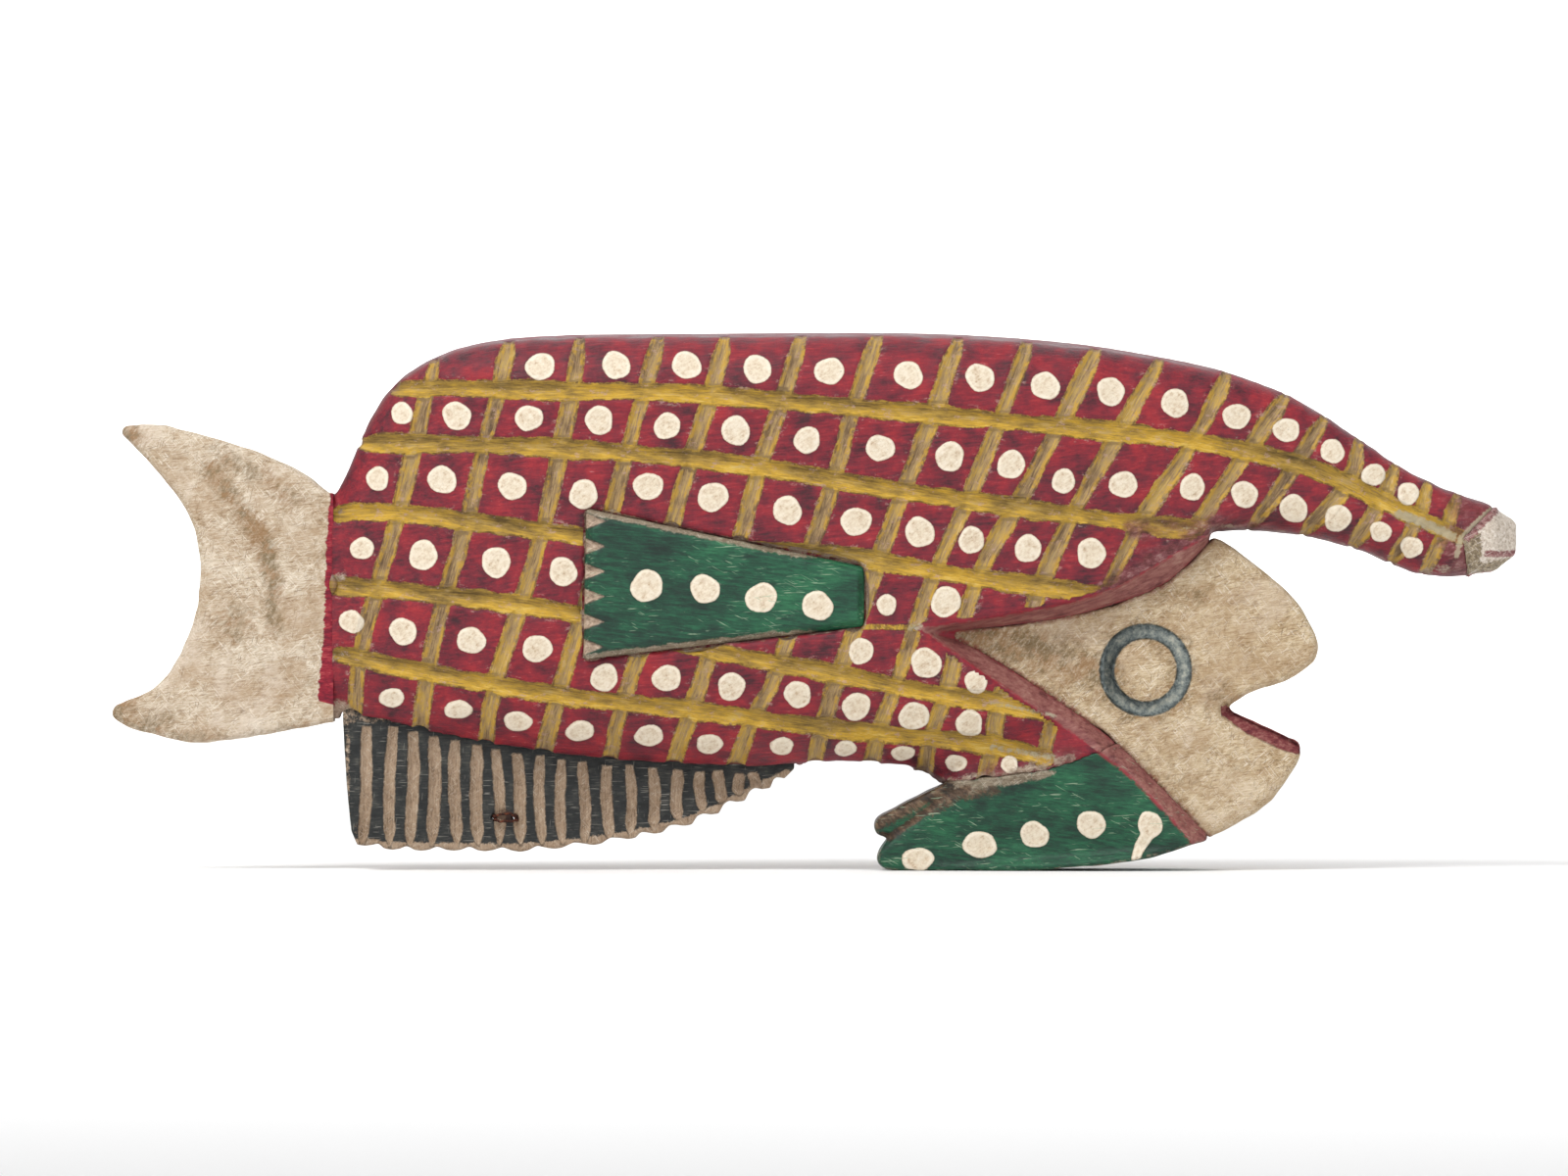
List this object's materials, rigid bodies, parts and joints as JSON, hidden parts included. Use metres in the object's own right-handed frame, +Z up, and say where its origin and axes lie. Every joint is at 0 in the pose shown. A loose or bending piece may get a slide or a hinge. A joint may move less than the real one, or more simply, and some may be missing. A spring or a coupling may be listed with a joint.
{
  "type": "fish-shaped guiro",
  "caption": "Carved and painted wooden fish scraper instrument with a grooved anal-fin rasp, hollow body, forked pelvic fins and a long curved handle over the head.",
  "frame": {"origin": "centre of the bounding box in X and Y, on the plane the two pelvic fins stand on", "axes": "+X towards the snout and the handle's knob, +Y across the thickness towards the fish's left flank, +Z up"},
  "size_m": [0.5732, 0.076, 0.2195],
  "materials": {
    "scales": "matte worn crimson paint with ochre gouged lattice and cream dots",
    "bare_wood": "limewashed bare wood",
    "rasp": "worn black paint, bare grooves",
    "fin_green": "satin green paint, worn at the edges",
    "white": "chalky white paint",
    "dowel": "bare wood",
    "iron": "rusted wire"
  },
  "bodies": {
    "root": {"body_shell_right": "scales", "body_shell_left": "scales", "pectoral_fin_right": "fin_green", "pectoral_fin_left": "fin_green", "pelvic_fin_right": "fin_green", "pelvic_fin_left": "fin_green", "head": "bare_wood", "tail": "bare_wood", "rasp_fin": "rasp", "handle_knob": "white", "wire_staple": "iron", "knob_dowel": "dowel", "flank_dowel_1": "dowel", "flank_dowel_2": "dowel", "flank_dowel_3": "dowel", "flank_dowel_4": "dowel", "flank_dowel_5": "dowel", "flank_dowel_6": "dowel", "flank_dowel_7": "dowel", "tail_dowel_1": "dowel", "tail_dowel_2": "dowel", "head_dowel_1": "dowel", "head_dowel_2": "dowel", "rasp_dowel_1": "dowel", "rasp_dowel_2": "dowel", "pelvic_dowel_1": "dowel", "pelvic_dowel_2": "dowel"}
  },
  "joints": []
}
